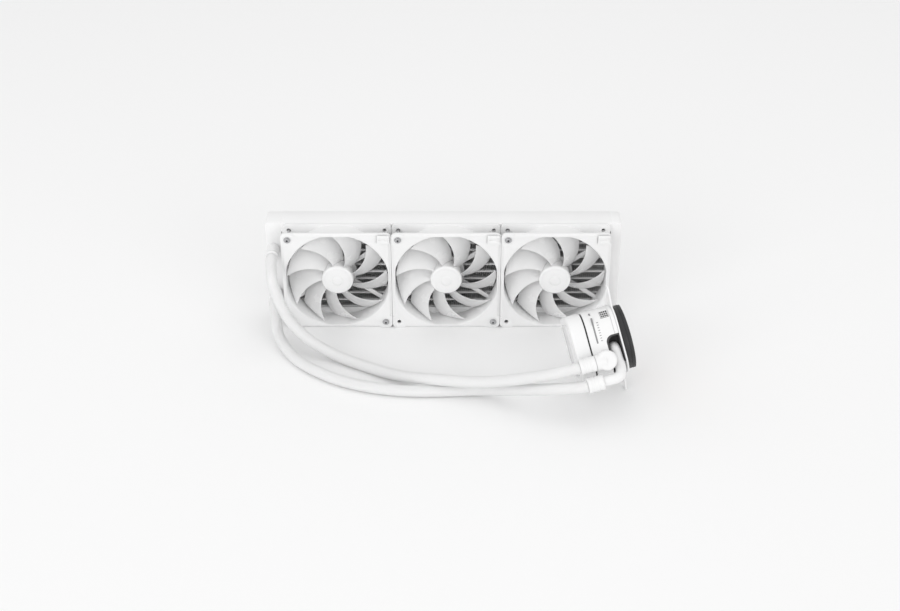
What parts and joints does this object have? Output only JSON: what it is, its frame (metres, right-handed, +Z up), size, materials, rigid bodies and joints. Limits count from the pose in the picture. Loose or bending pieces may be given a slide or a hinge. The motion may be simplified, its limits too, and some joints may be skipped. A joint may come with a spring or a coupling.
{
  "type": "liquid cooling radiator",
  "caption": "Closed-loop liquid cooler: flat-tube radiator with fans on its front face, sleeved hoses and a square pump head on a round base.",
  "frame": {"origin": "middle of the lower long face of the radiator, which stands on the ground; X = 0 is midway between the tanks' outer ends", "axes": "+X along the radiator from the ported tank to the plain tank, +Y from the fans' fronts through the radiator to its back, +Z up"},
  "size_m": [0.3944, 0.2422, 0.1268],
  "materials": {
    "painted_metal": "satin white powder coat",
    "white_plastic": "fine matt white moulding",
    "blade_plastic": "milky translucent white, soft gloss",
    "fin_metal": "bare folded foil, dulled by brazing",
    "tube_metal": "thin white overspray on flat tubes",
    "black_plastic": "fine matt black moulding",
    "panel": "smooth white gloss",
    "copper": "machined bare copper",
    "brass": "sintered bronze",
    "steel": "bare or zinc-plated steel",
    "magnet": "bonded ferrite, matt dark grey",
    "board": "green solder mask",
    "sleeve": "tight white braided sleeve over rubber hose"
  },
  "bodies": {
    "cooler": {"base_block": "black_plastic", "base_collar": "white_plastic", "bay_liner": "black_plastic", "bottom_side_plate": "painted_metal", "cold_plate": "copper", "elbow_lower": "white_plastic", "elbow_upper": "white_plastic", "fan_bearing_left": "brass", "fan_bearing_middle": "brass", "fan_bearing_right": "brass", "fan_frame_left": "white_plastic", "fan_frame_middle": "white_plastic", "fan_frame_right": "white_plastic", "fan_link_block_left": "white_plastic", "fan_link_block_middle": "white_plastic", "fan_link_block_right": "white_plastic", "fan_screw_lower_left": "steel", "fan_screw_lower_middle": "steel", "fan_screw_lower_right": "steel", "fan_screw_upper_left": "steel", "fan_screw_upper_middle": "steel", "fan_screw_upper_right": "steel", "fan_stator_left": "steel", "fan_stator_middle": "steel", "fan_stator_right": "steel", "fin_core": "fin_metal", "hose_lower": "sleeve", "hose_upper": "sleeve", "left_tank": "painted_metal", "mounting_bracket": "painted_metal", "port_ferrule_lower": "white_plastic", "port_ferrule_upper": "white_plastic", "port_fitting_lower": "white_plastic", "port_fitting_upper": "white_plastic", "pump_bearing": "panel", "pump_board": "board", "pump_ferrule_lower": "white_plastic", "pump_ferrule_upper": "white_plastic", "pump_housing": "white_plastic", "pump_stator": "steel", "pump_volute": "black_plastic", "right_tank": "painted_metal", "seam_ring": "black_plastic", "side_connector": "black_plastic", "top_side_plate": "painted_metal", "tube_bundle": "tube_metal"},
    "fan_rotor_left": {"fan_rotor_left": "blade_plastic", "fan_shaft_left": "steel", "fan_magnet_left": "magnet"},
    "fan_rotor_middle": {"fan_rotor_middle": "blade_plastic", "fan_shaft_middle": "steel", "fan_magnet_middle": "magnet"},
    "fan_rotor_right": {"fan_rotor_right": "blade_plastic", "fan_shaft_right": "steel", "fan_magnet_right": "magnet"},
    "impeller": {"impeller": "black_plastic", "impeller_magnet": "magnet", "impeller_shaft": "steel"},
    "cap": {"pump_cap": "white_plastic", "cap_panel": "panel"}
  },
  "joints": [
    {"name": "fan_spin_left", "type": "hinge", "parent": "cooler", "child": "fan_rotor_left", "pos_m": [-0.117, -0.0138, 0.06], "axis": [0, -1, 0], "continuous": true},
    {"name": "fan_spin_middle", "type": "hinge", "parent": "cooler", "child": "fan_rotor_middle", "pos_m": [0.003, -0.0138, 0.06], "axis": [0, -1, 0], "continuous": true},
    {"name": "fan_spin_right", "type": "hinge", "parent": "cooler", "child": "fan_rotor_right", "pos_m": [0.123, -0.0138, 0.06], "axis": [0, -1, 0], "continuous": true},
    {"name": "impeller_spin", "type": "hinge", "parent": "cooler", "child": "impeller", "pos_m": [0.18018, -0.15498, 0.06198], "axis": [0.9638, 0.174, 0.202], "continuous": true},
    {"name": "cap_pull", "type": "slide", "parent": "cooler", "child": "cap", "axis": [-0.9638, -0.174, -0.202], "range_m": [0, 0.012]}
  ]
}
